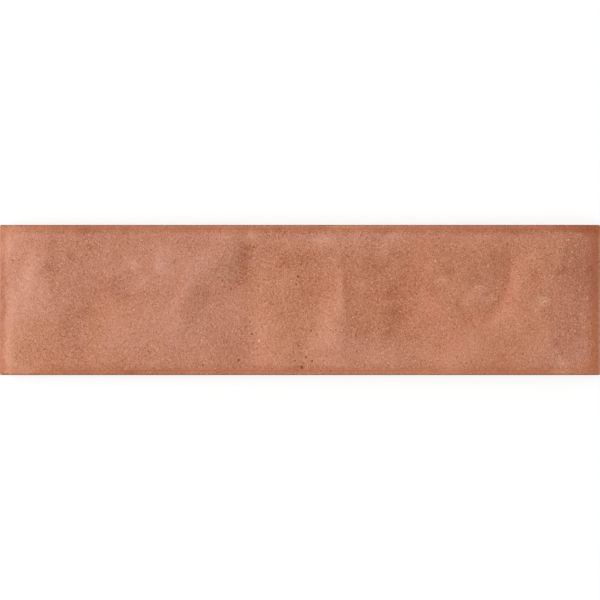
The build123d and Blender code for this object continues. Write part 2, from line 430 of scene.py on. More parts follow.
    (139, -17.2, 3, 1.9, -11), (141, -11, 7, 1.9, 8), (145.5, -3, 2, 6, 8),
    (100.7, -29, 1.8, 2.2, -13), (78.5, -22.5, 3.2, 4.2, 9), (74.5, -36, 4, 2, 12),
    (54.5, -33.8, 4.4, 1.7, -11), (67.5, -34, 3.6, 1.9, -11), (53, -27.5, 4, 1.8, -12, -20),
    (17.6, -33, 2.5, 3.2, 11), (5.3, -33.7, 3.6, 2.4, -10), (20.8, -22.5, 3, 5, 8),
    (13.2, -15.5, 2.4, 4.5, -11), (6.5, 33.5, 7, 2, -13), (43.5, 33.3, 3.4, 2.2, -17),
    (1, 22.5, 2.4, 1.8, -16), (25, 22, 4.5, 2.4, -13), (22, 17, 2.6, 2, -14), (38, 26.5, 5, 3, -13),
    (52, 23, 7, 3.5, -11), (57.5, 8, 4, 2.2, -20, 75), (27.6, 9.5, 5.5, 1.8, 18, 75),
    (22.5, -3, 5, 2.6, 11, 90), (29, -3, 4, 2, 10, 120), (43, -2, 4, 1.5, 13, 20),
    (63, 0.5, 3.2, 2.6, 22), (67.5, -6, 7.5, 6, 19), (69, 12.5, 4, 1.5, -14, 15),
    (74, 21, 4.5, 3.5, -11), (82, 25.5, 4.5, 2.2, -14, 90), (91, 24, 5, 2.2, 19, 165),
    (92.5, 3, 1.8, 1.8, -17), (84, -4, 5, 2, 8, 150), (104.5, -5, 4, 2.6, 12), (104, -9, 13, 5, 7),
    (86, -20.5, 4, 2.2, 20, 110), (81, -20, 9, 7, 10), (53.5, -19.5, 4.5, 3.4, -15),
    (32, -18, 4, 2, -12), (33, -25, 3.4, 3, -16), (109.5, 25.5, 4, 2.4, -15, 140),
    (106.3, 20.3, 2.2, 2.2, -15), (106, -21, 5, 3.5, -7), (100, -28, 2.2, 2, -12),
    (120.5, 3, 5, 2.5, -12), (121.5, -3.5, 2.6, 2.4, -17), (128.5, 14, 3.4, 2.4, -30),
    (123.5, 17.5, 2.6, 3, -19), (135.2, 12, 4, 1.8, 15, 95), (144, 14, 3.5, 2.4, -13),
    (140, 5.5, 4, 2.2, -15, 70), (132, 29, 4, 2.4, -17, 60), (127.8, -18.8, 6.5, 1.9, -20, 90),
    (132, -25.5, 2.2, 2.8, -22), (134, -13, 4, 6, -8), (16.5, 36.3, 3.5, 1.3, 12),
    (25.5, 19.5, 3.4, 2.8, -10), (49, 30.5, 2, 2.6, 11), (15.5, -29.3, 2, 2, -13),
    (52.3, 16, 2.2, 1.6, -15), (117, 27, 3.4, 1.7, -11, -20), (132.3, 23.3, 1.7, 1.9, -14),
    (137.6, 17.6, 3.6, 1.7, -13, -55), (144, -16.5, 3, 2.8, -15), (149.3, -6, 1.3, 3.6, 22),
    (86.5, -31, 1.7, 4.6, -10), (94.5, -27.5, 2.8, 1.9, -11), (111.5, -2, 3, 5, 9),
    (101.5, -16.5, 4, 1.5, 11, 115), (64, -36.5, 10, 1.3, 10), (141.5, -33.5, 3.6, 1.8, 13, 35),
    # Along the bands at the long edges
    (-143, 35.5, 9, 2.6, 14, 0, 2), (-149, 36, 2.5, 2.5, 28, 0, 1.5), (-142, -35.2, 9, 3, 24, 0, 2),
    (-70, 37, 70, 2, -6, 0, 2), (10, 36, 5, 2, -10), (145, 35.5, 4, 3, -12, 0, 1.5),
    (147.6, -17, 9, 1.8, 10, 90), (122, -34, 4, 2, -12), (-106.5, 34.5, 5, 2, -26),
    (-86, 35, 2.6, 2, -20), (-72, 35, 9, 2.4, 12), (-34, 36, 6, 2.4, 17), (-11, 35, 2, 1.8, -22),
    (25, 36.5, 7, 1.6, 20), (42.5, 34.5, 3, 1.8, -22), (107, 34.5, 9, 1.8, -22, 0, 1.5),
    (138, 36, 12, 2.6, -42, 0, 2), (-112, -36, 9, 2.4, -17, 0, 1.5), (-85, -36, 5, 2.2, -30),
    (-68, -36, 8, 2, -18), (53, -36.5, 4, 1.6, 14), (75, -33, 4, 2, 10),
    (99.5, -33.5, 4.6, 2.2, -22), (130.5, -35.5, 5, 1.6, 20),
]

# Clouds that the fire turned ochre (above 0) or left pink (below 0)
ochreClouds = [
    (-85, 5, 60, 45, -35, 0, 2), (-130, 18, 4, 4, -50), (-83, 17, 4, 3, -60, 90),
    (-69, 20, 6, 4.5, -70, 90), (-45, 18, 15, 11, -70, 0, 2), (-50, 1, 6, 4, -60, 90),
    (-45, -10, 17, 18, -55, 0, 2), (-55, -18, 9, 3, -40), (-134, -22, 20, 11, 70, 0, 2.5),
    (-103, -15, 18, 4, 80, 90, 1.5), (-91, -5, 11, 6, 80, 0, 1.5), (-110, -32, 30, 4, 60, 0, 1.5),
    (-3, -2, 24, 29, 58, 0, 4), (47, 3, 30, 27, 50, 0, 4), (98, -2, 29, 33, 58, 0, 4),
    (12, 32, 16, 3.5, -80), (45, 29, 7, 6, -110), (30, 26, 12, 4, -50), (36, 6, 7, 8, -50),
    (33, -21, 21, 8, -55, 0, 2), (91, 2.5, 6, 4, -110), (88, 14, 10, 9, -55, 0, 1.5),
    (120, -1, 4, 6, -120), (134, -14, 20, 8, -60, 90, 2), (127, -24, 6, 7, -80),
    (139, 20, 7, 7, -50), (-78, 2, 4, 4, 40), (-82, 16, 20, 11, -25, 0, 2),
    (68, 20, 10, 10, 40, 0, 2), (-94, -15, 7, 5, 40), (68, -24, 9, 9, 45, 0, 2),
    (-137, 20, 3, 6, 45), (-110.5, 28, 3, 6, 50), (0, 37.4, 150, 1, -100, 0, 2),
    (0, -37.4, 150, 1.2, -100, 0, 2),
]

# Clouds where iron blushes through the glaze (above 0) or it stayed greyer (below 0)
blushClouds = [
    (-100, 6, 4, 5, 50, 0, 1.5), (-99, -8, 4, 2.5, 45), (-11, 17, 6, 2.5, 60, 65),
    (-16, -5, 3.5, 2, 45, 90), (-20, -26, 5, 3.5, 45), (11, 6, 7, 6, 48, 0, 1.3),
    (24.5, 7, 9, 2.6, 45, 90), (40, 15, 5, 3, 55, 90), (43, 4, 14, 2.4, 45), (60, 17, 9, 5, 68, 75),
    (66, -3, 13, 5, 70, 95), (54, -9, 4.5, 4, 60), (79, -22, 13, 4.5, 60, 62),
    (84, -7, 4.5, 3.5, 65, 120), (104.5, 6, 12, 4.4, 64, 85, 1.2), (97, -6, 8, 3.2, 60, 32),
    (103, 22, 5, 3, 50, 80), (117.5, 13, 3, 2.4, 50), (-28, 20, 10, 2.6, 55, 88, 1.3),
    (-35, 21, 11, 5.5, -50, 68, 1.2), (-70, 17, 6, 4, -22, 90), (-83, 13, 4, 3, -25),
    (-54, 4, 20, 4.5, -14, 92, 1.3), (-47.5, 3, 4, 3.5, 25), (-52, -19, 11, 5.5, -25, 90, 1.3),
    (-38, -24, 6, 4, -20, 90), (20, 31.5, 34, 3, -25, 0, 2), (30, -30, 4, 3, -30),
    (87, 8, 4, 3, -25), (121, 0, 3.5, 2.4, -20), (138, 26, 7, 7, -35, 0, 1.2),
    (141, -5, 14, 4.5, -26, 90, 1.3), (129.5, -31, 6, 4.5, -36), (-145, -28, 5, 3, -35, 90),
    (-150.2, 0, 60, 1.1, 40, 90, 2), (0, -37.5, 148, 1, -80, 0, 2), (-39, 11.5, 8, 2.5, -45),
    (-22, 31, 8, 3.5, -42), (-109, 34, 5, 2, 35), (86, 34, 6, 2, 35), (144, 34.5, 5, 2.5, 40),
    (-120, -33.5, 3, 2, 30), (-95, -34, 9, 2, 25), (-21, -33.5, 8, 2, 30), (102, -34, 5, 2, 35),
    (52, 7, 7, 5, 30, 0, 1.5), (71, -24, 11, 4, 28, 65),
]

# Where the band's orange is lost (below 0) or gained (above 0)
thinClouds = [
    (150.3, 0, 60, 1.9, -90, 90, 2), (-149.6, 0, 60, 1.6, -40, 90, 2),
    (0, 37.6, 146, 1.3, -100, 0, 2), (0, -37.5, 148, 1.3, -100, 0, 2), (146, 35, 6, 3.5, 50, 0, 2),
    (137, -36.5, 9, 2.2, -35, 0, 2), (129.5, -35, 5, 2, -40), (-141, -36, 9, 2.6, -50, 0, 2),
    (-143, 36, 6, 2.4, -40, 0, 2),
]

# Clouds of rougher (above 0) or softer grain (below 0)
grainClouds = [
    (0, 10, 24, 22, 15, 0, 2), (40, 2, 22, 24, 12, 0, 2), (-125, -24, 14, 10, 12),
    (-70, 5, 30, 40, -8, 0, 2), (100, -24, 30, 12, -12, 0, 2),
]

# Pale bloom, where the glaze has begun to frost over
bloomClouds = [
    (-83.5, 17.5, 3.4, 2.4, 40, 125, 1.5), (-70, 18, 5.5, 2.6, 35, 88, 1.5),
    (89, 5, 3.6, 2.4, 80, 10, 1.5), (95.5, 1.5, 3.4, 1.8, 70, 20, 1.5),
    (120.5, -1, 4, 2.8, 100, 0, 1.5), (118, -5, 1.8, 1.8, 80, 0, 1.5),
    (131, -31, 4, 2.6, 80, 0, 1.5), (31.5, 8, 3, 2, 40, 20, 1.5), (71, 9.5, 3, 2.2, 50, 0, 1.5),
]


def cloudShare(x, y, cloudX, cloudY, halfLength, halfWidth, percent, angle=0.0, crispness=1.0):
    along, across = turned(x, y, cloudX, cloudY, halfLength, halfWidth, angle)
    return percent / 100 * np.exp(-((along**2 + across**2) ** crispness))


def cloudSum(x, y, clouds):
    # x and y are arrays with a place for each point of the mesh
    return sum(cloudShare(x, y, *cloud) for cloud in clouds)


def nearValues(x, y, values):
    # The values of the nearer end and of the nearer long side
    atEnd = np.where(x < 0.0, values["left"], values["right"])
    return atEnd, np.where(y < 0.0, values["lower"], values["upper"])


def bandDistance(x, y, stray):
    # Distance in from the core of the thin band that follows the edges
    corner = glazeCoat["bandCorner"]
    short = []
    for inward, core in zip(edgeDistances(x, y), nearValues(x, y, glazeCoat["bandCore"])):
        short.append(np.maximum(0.0, corner - (inward - core)))
    return corner + stray - np.hypot(*short)


def bySide(x, y, values):
    # The value of the side that each point is near to, blended across the corners
    fromEnd, fromSide = edgeDistances(x, y)
    share = np.clip(0.5 + (fromSide - fromEnd) / glazeCoat["cornerBlend"], 0.0, 1.0)
    atEnd, atSide = nearValues(x, y, values)
    return between(atSide, atEnd, share)


def sideCells(side):
    half = tileBody["halfLength"] if side % 2 == 0 else tileBody["halfWidth"]
    return round(2 * half / tileBody["cellSize"])


def onArc(x, y, radius, turn):
    # The point at this radius from (x, y), turned from X
    return x + radius * math.cos(turn), y + radius * math.sin(turn)


def ringPoints(inset, radius):
    # One ring round the tile, anticlockwise from the middle of the lower left corner
    halfX = tileBody["halfLength"] - inset - radius
    halfY = tileBody["halfWidth"] - inset - radius
    centres = [(-halfX, -halfY), (halfX, -halfY), (halfX, halfY), (-halfX, halfY)]
    arc = tileBody["cornerCells"]
    points = []
    for side in range(4):
        outward = math.radians(90 * side - 90)
        (startX, startY), (endX, endY) = centres[side], centres[(side + 1) % 4]
        for step in range(arc):
            turn = outward - math.pi / 4 * (1 - step / arc)
            points.append(onArc(startX, startY, radius, turn))
        cells = sideCells(side)
        for step in range(cells):
            x = between(startX, endX, step / cells)
            y = between(startY, endY, step / cells)
            points.append(onArc(x, y, radius, outward))
        for step in range(arc):
            turn = outward + math.pi / 4 * step / arc
            points.append(onArc(endX, endY, radius, turn))
    return points


# Rings over the cushion: (inset from the outline, radius of the ring's corners)
cushionRings = [
    (5.0, 3.4), (4.4, 3.0), (3.8, 2.6), (3.2, 2.2), (2.7, 1.9), (2.2, 1.6),
    (1.8, 1.4), (1.4, 1.2), (1.1, 1.05), (0.8, 0.9),
]


def addRing(bm, points, heights, inner=None, material=0):
    # A ring of points, joined to the ring inside it where there is one
    ring = [bm.verts.new((x * mm, y * mm, z * mm)) for (x, y), z in zip(points, heights)]
    if inner:
        for place in range(len(ring)):
            following = (place + 1) % len(ring)
            face = bm.faces.new((inner[place], ring[place], ring[following], inner[following]))
            face.material_index = material
    return ring


def fillFace(bm, ring, points):
    # The face inside the innermost ring: its four sides are blended across it
    along = sideCells(0) + 2 * tileBody["cornerCells"]
    across = sideCells(1) + 2 * tileBody["cornerCells"]
    wrapped = points + points[:1]
    lower = wrapped[: along + 1]
    right = wrapped[along : along + across + 1]
    upper = wrapped[along + across : 2 * along + across + 1][::-1]
    left = wrapped[2 * along + across :][::-1]
    grid = {}
    for column in range(along + 1):
        grid[column, 0] = ring[column]
        grid[column, across] = ring[2 * along + across - column]
    for row in range(1, across):
        grid[along, row] = ring[along + row]
        grid[0, row] = ring[-row]
    for column in range(1, along):
        u = column / along
        for row in range(1, across):
            v = row / across
            place = []
            for axis in range(2):
                sides = between(lower[column][axis], upper[column][axis], v)
                sides += between(left[row][axis], right[row][axis], u)
                lowerEnds = between(lower[0][axis], lower[-1][axis], u)
                upperEnds = between(upper[0][axis], upper[-1][axis], u)
                place.append(sides - between(lowerEnds, upperEnds, v))
            x, y = place
            grid[column, row] = bm.verts.new((x * mm, y * mm, faceHeight(x, y) * mm))
    for column in range(along):
        for row in range(across):
            bm.faces.new((
                grid[column, row], grid[column + 1, row],
                grid[column + 1, row + 1], grid[column, row + 1],
            ))


def addFace(bm):
    # The glazed face and its cushion, out to the start of the arris
    ring = None
    for inset, radius in cushionRings:
        points = ringPoints(inset, radius)
        outer = addRing(bm, points, [faceHeight(x, y) for x, y in points], ring)
        if ring is None:
            fillFace(bm, outer, points)
        ring = outer
    return ring


def addArris(bm, ring):
    # Quarter round from the cushion's slope to the upright sides
    radius, steps = tileBody["arrisRadius"], tileBody["arrisCells"]
    slope = math.atan(2 * tileBody["cushionDrop"] / tileBody["cushionReach"])
    foot = ringPoints(radius, tileBody["cornerRadius"])
    turnLevels = [faceHeight(x, y) - radius * math.cos(slope) for x, y in foot]
    for step in range(steps + 1):
        turn = between(slope, math.pi / 2, step / steps)
        points = ringPoints(radius * (1 - math.sin(turn)), tileBody["cornerRadius"])
        heights = [level + radius * math.cos(turn) for level in turnLevels]
        ring = addRing(bm, points, heights, ring)
    return ring, turnLevels


def addSides(bm, ring, turnLevels):
    # Glaze ends in a wandering lip, and bare clay goes on to the bevelled foot
    coat, corner = glazeCoat, tileBody["cornerRadius"]
    footInset, footHeight = tileBody["footInset"], tileBody["footHeight"]
    across, along = tileBody["bevelSoftening"]
    outline = ringPoints(0, corner)
    lip = [coat["lipLevel"] + rippleSum(x, y, coat["lipWander"]) for x, y in outline]
    lipTops = [end + coat["lipHeight"] for end in lip]
    for share in coat["glazedRings"]:
        heights = [between(top, end, share) for top, end in zip(turnLevels, lipTops)]
        ring = addRing(bm, outline, heights, ring)
    step, turn = coat["lipStep"], coat["lipRound"]
    for inset, rise in ((turn * step, turn), (step, 0.0)):
        heights = [end + rise * coat["lipHeight"] for end in lip]
        ring = addRing(bm, ringPoints(inset, corner), heights, ring)
    for share in tileBody["bareRings"]:
        heights = [between(end, footHeight, share) for end in lip]
        ring = addRing(bm, ringPoints(step, corner), heights, ring, 1)
    bevel = [(step, footHeight + along), (step + across, footHeight - along),
             (footInset - across, tileBody["footSoftening"]), (footInset + along, 0.0)]
    for inset, height in bevel:
        ring = addRing(bm, ringPoints(inset, corner), [height] * len(ring), ring, 1)
    return ring


# Pockets of the back, in millimetres, as in the solid
tileBack = {
    "rim": 4.5,
    "rib": 2.6,
    "columns": 16,
    "rows": 4,
    "depth": 0.9,
    "cornerRadius": 1.6,
    "smallestRadius": 0.4,
    "draft": 35.0,
    "cornerCells": 4,
    "softening": 0.18,  # roundness of the ribs' edges and of the pockets' floors
    # Steps over the ribs' edge, and from the wall onto the floor: (outward, deeper), as
    # shares of the softening
    "edgeSteps": [(1.0, 0.0), (0.3, 0.12), (-0.3, 1.0)],
    "floorSteps": [(0.6, -0.5), (-0.8, 0.0)],
}


def pocketPoints(centre, halfX, halfY, radius):
    cells = tileBack["cornerCells"]
    points = []
    for corner, (signX, signY) in enumerate(((1, 1), (-1, 1), (-1, -1), (1, -1))):
        x = centre[0] + signX * (halfX - radius)
        y = centre[1] + signY * (halfY - radius)
        for step in range(cells + 1):
            turn = math.pi / 2 * (corner + step / cells)
            points.append(onArc(x, y, radius, turn))
    return points


def addBack(bm, ring):
    # Flat ribs with pockets, which the adhesive keys into
    back = tileBack
    counts = (back["columns"], back["rows"])
    sizes = []
    for half, count in zip((tileBody["halfLength"], tileBody["halfWidth"]), counts):
        sizes.append((2 * half - 2 * back["rim"] - (count - 1) * back["rib"]) / count)
    soft = back["softening"]
    run = back["depth"] * math.tan(math.radians(back["draft"]))
    profile = [(outward * soft, deeper * soft) for outward, deeper in back["edgeSteps"]]
    for outward, deeper in back["floorSteps"]:
        profile.append((outward * soft - run, back["depth"] + deeper * soft))
    rims = [ring]
    for pocket in np.ndindex(counts):
        centre = [
            (place - (count - 1) / 2) * (size + back["rib"])
            for place, count, size in zip(pocket, counts, sizes)
        ]
        wall = None
        for grow, height in profile:
            radius = max(back["smallestRadius"], back["cornerRadius"] + grow)
            points = pocketPoints(centre, sizes[0] / 2 + grow, sizes[1] / 2 + grow, radius)
            loop = addRing(bm, points, [height] * len(points), wall, 1)
            if wall is None:
                rims.append(loop)
            wall = loop
        bm.faces.new(wall).material_index = 1
    edges = []
    for rim in rims:
        for place, vert in enumerate(rim):
            following = rim[(place + 1) % len(rim)]
            edges.append(bm.edges.get((vert, following)) or bm.edges.new((vert, following)))
    filled = bmesh.ops.triangle_fill(bm, use_beauty=True, edges=edges, normal=(0, 0, -1))
    for part in filled["geom"]:
        if isinstance(part, bmesh.types.BMFace):
            part.material_index = 1


def rippleMap(x, y, ripples):
    return np.array([rippleSum(px, py, ripples) for px, py in zip(x, y)])


def storeGlaze(mesh):
    # The glaze's clouds go onto the mesh's points, for the material to read
    places = np.empty(3 * len(mesh.vertices))
    mesh.vertices.foreach_get("co", places)
    x, y = places[0::3] / mm, places[1::3] / mm
    coat = glazeCoat
    along, across = rippleMap(x, y, coat["strayAlong"]), rippleMap(x, y, coat["strayAcross"])
    cloudX, cloudY = x + coat["cloudStray"] * along, y + coat["cloudStray"] * across
    inward = bandDistance(x, y, coat["bandStray"] * along)
    inside = np.clip(inward / coat["bandFade"], 0.0, 1.0)
    beside = np.exp(-(((inward - coat["bandFade"]) / coat["bandShadowWidth"]) ** 2))
    rim = np.exp(-((np.minimum(*edgeDistances(x, y)) / coat["arrisWidth"]) ** 2))
    # Glaze depth, together with painted light and shade: the clouds', the painted shade inside the
    # band, and the arris's
    depth = cloudSum(cloudX, cloudY, depthAndShadeClouds) - bySide(x, y, coat["bandShadow"]) * beside
    depth -= bySide(x, y, coat["arrisThinAndShade"]) * rim
    blush = cloudSum(cloudX, cloudY, blushClouds) + bySide(x, y, coat["bandBlush"]) * beside
    ochre = cloudSum(cloudX, cloudY, ochreClouds) + rippleMap(x, y, coat["fireWander"])
    thin = 1.0 - inside**2 * (3.0 - 2.0 * inside) + cloudSum(x, y, thinClouds)
    thin = np.clip(thin, 0.0, 1.0)
    grain = 1.0 - coat["thinGrain"] * depth + cloudSum(x, y, grainClouds)
    grain += rippleMap(x, y, coat["grainWander"])
    maps = {
        "glazeDepthAndShade": 0.5 + coat["cloudContrast"] * depth,
        "glazeGrain": grain * (1.0 - coat["bandGrain"] * thin),
        "glazeOchre": np.clip(0.5 + 0.5 * ochre, 0.0, 1.0),
        "glazeIron": np.clip(blush, 0.0, 1.0),
        "glazeGrey": np.clip(-blush, 0.0, 1.0),
        "glazeBloom": cloudSum(cloudX, cloudY, bloomClouds),
        "glazeThin": thin,
    }
    for name, values in maps.items():
        layer = mesh.attributes.new(name, "FLOAT", "POINT")
        layer.data.foreach_set("value", values.astype(np.float32))
    return list(maps)


# Satin terracotta glaze, sprayed on and fired: opaque, with a low silky sheen and fine grain.
# It pools pale and pinkish in the hollows, and over the edges it runs thin and orange. Light and
# shade of the face are also painted into how pale it is.
satinGlaze = {
    "name": "satinTerracottaGlaze",
    "pinkTones": ("#955538", "#B7795E", "#D69A86"),  # for thin glaze and painted shade, for middling, and for deep glaze and painted light
    "ochreTones": ("#945131", "#B67450", "#D59576"),
    "edgeTones": ("#934A25", "#B26B47", "#D88F6C"),
    "ironWash": "#FFF0F0",  # laid over the tones where iron blushes through
    "greyWash": "#F4FFFA",
    "bloomTone": "#E8B49E",
    "bloomShare": 0.3,
    "roughness": 0.66,
    "ior": 1.5,
    "grit": 0.42,  # mm from grain to grain
    "gritStretch": 1.3,  # longer across the tile, the way that the spray went
    "gritContrast": 0.95,
    "gritPower": 1.5,  # above 1, most grains hardly show and a few are dark
    "gritHeight": 0.001,
    "coarseGrit": 0.9,
    "coarseGritContrast": 0.14,
    "mottle": 4.0,  # mm across its small clouds
    "mottleContrast": 0.22,
    "frost": 0.5,  # mm between the frosted grains of the bloom
    "frostSpan": (0.5, 0.64),  # noise levels where a frosted grain begins and is full
}

# Iron specks and pale pinholes of the glaze: (x, y, radius, strength)
ironSpecks = [
    (-30.5, -30, 0.75, 0.96), (1, -33.5, 0.95, 0.96), (-2.5, -30.2, 0.5, 0.84),
    (3, -28.5, 0.6, 0.96), (6, -30.5, 0.6, 0.84), (-1, 11.7, 0.75, 0.94), (-1.8, 7.8, 0.5, 0.72),
    (-24.8, 26.9, 0.6, 0.72), (-23, 26.4, 0.65, 0.86), (-38.6, 9.6, 0.5, 0.84),
    (-34.4, 5.5, 0.55, 0.88), (-24, -17, 0.6, 0.96), (-48.5, -32.5, 0.55, 0.94),
    (-75.5, -25.5, 0.5, 0.9), (-87.5, -21, 0.45, 0.6), (-73, -34, 0.5, 0.6),
    (-0.8, 22.3, 0.5, 0.66), (-8.5, 22.5, 0.45, 0.6), (5.5, -15.2, 0.55, 0.9),
    (15, -15, 0.45, 0.72), (16.5, -16, 0.4, 0.54), (10.5, -35.6, 0.5, 0.6),
    (15.2, -35.5, 0.6, 0.72), (-143.4, 19.7, 0.6, 0.6), (-140.3, 19.9, 0.45, 0.48),
    (-136.5, 23.3, 0.5, 0.48), (-0.5, -22.7, 0.55, 0.72), (57.5, -14, 0.45, 0.6),
    (-27.8, 22.2, 0.6, 0.6), (-7.9, 18.4, 0.55, 0.72), (0.5, 17.9, 0.6, 0.72),
    (-29.8, 13.5, 0.5, 0.6), (1.2, 2.3, 0.45, 0.6), (-27.2, -13.7, 0.55, 0.6),
    (-16.1, -23.7, 0.45, 0.6), (-110.5, 13, 0.45, 0.48), (97, -0.8, 0.45, 0.42),
    (92.3, 9.5, 0.4, 0.3), (86.3, 9.2, 0.4, 0.3), (95, -9, 0.4, 0.36), (113.6, 9, 0.4, 0.36),
    (109.5, -6.2, 0.4, 0.3), (126.4, 0.6, 0.4, 0.36), (116.2, 1.5, 0.45, 0.3),
    (129.7, -17.2, 0.4, 0.36), (130.8, -18.1, 0.4, 0.42), (133.8, -25.2, 0.4, 0.42),
    (136.9, -16.9, 0.4, 0.36), (126.4, -20.8, 0.4, 0.36), (101.7, -24.1, 0.4, 0.42),
    (134, -30.3, 0.4, 0.36), (101.1, -27.7, 0.4, 0.36),
]
paleSpecks = [
    (-20.5, -20.4, 0.55, 0.9), (67.5, 19.5, 0.5, 0.75), (135.6, 24, 0.5, 0.5),
    (132.9, 29.9, 0.45, 0.5), (134.1, 30.1, 0.45, 0.5), (141.7, 15.3, 0.4, 0.5),
    (99, 9.7, 0.4, 0.5), (139.9, 6.6, 0.4, 0.5), (26.3, -8.7, 0.45, 0.65), (-17.3, -10.2, 0.4, 0.4),
    (0.9, 22.6, 0.4, 0.4), (87.7, 6.5, 0.5, 0.35), (122.3, 1.3, 0.4, 0.5), (121.3, -1.2, 0.5, 0.4),
    (117.5, -5.4, 0.35, 0.4), (118.6, -5, 0.35, 0.4), (119.8, -4.6, 0.35, 0.35),
    (121.6, -2.8, 0.35, 0.35), (127.3, 7.6, 0.4, 0.45), (98.2, 6.3, 0.4, 0.35),
    (98.9, 4.2, 0.4, 0.35), (97.7, 0.4, 0.4, 0.35), (95.9, 1.5, 0.35, 0.3), (92.1, 6.1, 0.4, 0.35),
    (93.2, -1.7, 0.35, 0.3), (129.1, -28, 0.35, 0.45), (129.5, -29.2, 0.35, 0.4),
    (136.4, -27.5, 0.4, 0.5), (131.4, -32, 0.45, 0.3), (132.7, -33.1, 0.45, 0.35),
    (126.1, -27, 0.4, 0.35), (104.8, -18.1, 0.4, 0.35),
]

speckField = {
    "ironTone": "#823C10",
    "paleTone": "#E8B496",
    "wobble": 0.35,  # mm that a speck's outline strays
    "wobbleSize": 1.0,  # mm from one stray to the next
    "spacing": 5.0,  # mm between the small random specks
    "randomRadius": 0.4,
    "randomShare": 0.45,  # of the places that have one
    "randomStrength": 0.45,
    "paleShift": 0.5,  # m between the fields of the dark and the pale random specks
    "core": 0.6,  # shares of its radius where a speck begins to fade and where it ends
    "rim": 1.2,
}


def patchScale(size):
    # Scale of a noise or a mottle whose patches are this many millimetres across
    return 0.5 / (size * mm)


def addSurface(tree, finish, colour, grain):
    # The shader of a fired surface, whose grain stands up from it
    bump = addNode(tree, "Bump", {
        "Height": grain, "Distance": finish["gritHeight"] * mm, "Strength": 1.0})
    surface = addNode(tree, "BsdfPrincipled", {
        "Base Color": colour, "Roughness": finish["roughness"], "IOR": finish["ior"],
        "Normal": bump})
    addNode(tree, "OutputMaterial", {"Surface": surface})


def fadingSpot(tree, distance, radius, strength):
    # Full round the middle of a speck, and gone a little past its radius
    return addNode(tree, "MapRange", {
        "Value": distance, "To Min": strength, "To Max": 0.0,
        "From Min": speckField["core"] * radius, "From Max": speckField["rim"] * radius,
    }, interpolation_type="SMOOTHSTEP")


def randomSpecks(tree, place, shift):
    # Small specks at random places, on a part of the cells of a loose grid
    field = speckField
    moved = addNode(tree, "VectorMath", {0: place, 1: (shift, shift, 0.0)}, operation="ADD")
    cells = addNode(tree, "TexVoronoi", {
        "Vector": moved, "Scale": 1 / (field["spacing"] * mm)})
    chance = addNode(tree, "SeparateColor", {"Color": cells.outputs["Color"]})
    present = addNode(tree, "Math", {
        0: chance.outputs["Red"], 1: field["randomShare"]}, operation="LESS_THAN")
    strength = addNode(tree, "Math", {
        0: present, 1: chance.outputs["Green"]}, operation="MULTIPLY")
    radius = field["randomRadius"] / field["spacing"]
    spot = fadingSpot(tree, cells.outputs["Distance"], radius, field["randomStrength"])
    return addNode(tree, "Math", {0: strength, 1: spot}, operation="MULTIPLY")


def speckMask(tree, place, specks, shift):
    # 1 in the middle of a strong speck and 0 beside it: the random ones and the placed ones
    field = speckField
    stray = addNode(tree, "TexNoise", {
        "Vector": place, "Scale": 1 / (field["wobbleSize"] * mm)})
    wobble = field["wobble"] * mm
    strayed = addNode(tree, "VectorMath", {
        0: stray.outputs["Color"], 1: (wobble, wobble, wobble), 2: place}, operation="MULTIPLY_ADD")
    flat = addNode(tree, "VectorMath", {
        0: strayed, 1: (1.0, 1.0, 0.0)}, operation="MULTIPLY")
    mask = randomSpecks(tree, place, shift)
    for x, y, radius, strength in specks:
        # The noise moves each place by half the wobble on average
        middle = (x * mm + wobble / 2, y * mm + wobble / 2, 0.0)
        distance = addNode(tree, "VectorMath", {0: flat, 1: middle}, operation="DISTANCE")
        spot = fadingSpot(tree, distance.outputs["Value"], radius * mm, strength)
        mask = addNode(tree, "Math", {0: spot, 1: mask}, operation="MAXIMUM")
    return mask


def glazeTone(tree, place, maps, glaze):
    # How pale the glaze is, from 0 to 1: its depth and the light and shade painted into it, broken
    # up by small clouds and fine grit
    mottle = addNode(tree, "TexNoise", {
        "Vector": place, "Scale": patchScale(glaze["mottle"]), "Detail": 3.0})
    coarse = addNode(tree, "TexNoise", {
        "Vector": place, "Scale": patchScale(glaze["coarseGrit"]), "Detail": 1.0})
    drawn = addNode(tree, "VectorMath", {
        0: place, 1: (1.0, 1 / glaze["gritStretch"], 1.0)}, operation="MULTIPLY")
    cells = addNode(tree, "TexVoronoi", {
        "Vector": drawn, "Scale": 1 / (glaze["grit"] * mm)})
    grit = addNode(tree, "SeparateColor", {"Color": cells.outputs["Color"]})
    darkGrit = addNode(tree, "Math", {
        0: grit.outputs["Red"], 1: glaze["gritPower"]}, operation="POWER")
    gritGrain = addNode(tree, "Math", {
        0: grit.outputs["Green"], 1: maps["glazeGrain"]}, operation="MULTIPLY")
    # (pattern, its mean, contrast, how strongly it shows)
    layers = [
        (mottle, 1 / 2, glaze["mottleContrast"], maps["glazeGrain"]),
        (coarse, 1 / 2, glaze["coarseGritContrast"], maps["glazeGrain"]),
        (darkGrit, 1 / (1 + glaze["gritPower"]), -glaze["gritContrast"], gritGrain),
    ]
    tone = maps["glazeDepthAndShade"]
    for pattern, mean, contrast, share in layers:
        centred = addNode(tree, "Math", {
            0: pattern, 1: contrast, 2: -contrast * mean}, operation="MULTIPLY_ADD")
        tone = addNode(tree, "Math", {0: centred, 1: share, 2: tone}, operation="MULTIPLY_ADD")
    return tone, grit


def bloomMask(tree, place, maps, glaze):
    frost = addNode(tree, "TexNoise", {
        "Vector": place, "Scale": patchScale(glaze["frost"]), "Detail": 2.0})
    frosted = addNode(tree, "MapRange", {
        "Value": frost, "From Min": glaze["frostSpan"][0], "From Max": glaze["frostSpan"][1],
        "To Max": glaze["bloomShare"]})
    return addNode(tree, "Math", {0: maps["glazeBloom"], 1: frosted}, operation="MULTIPLY")


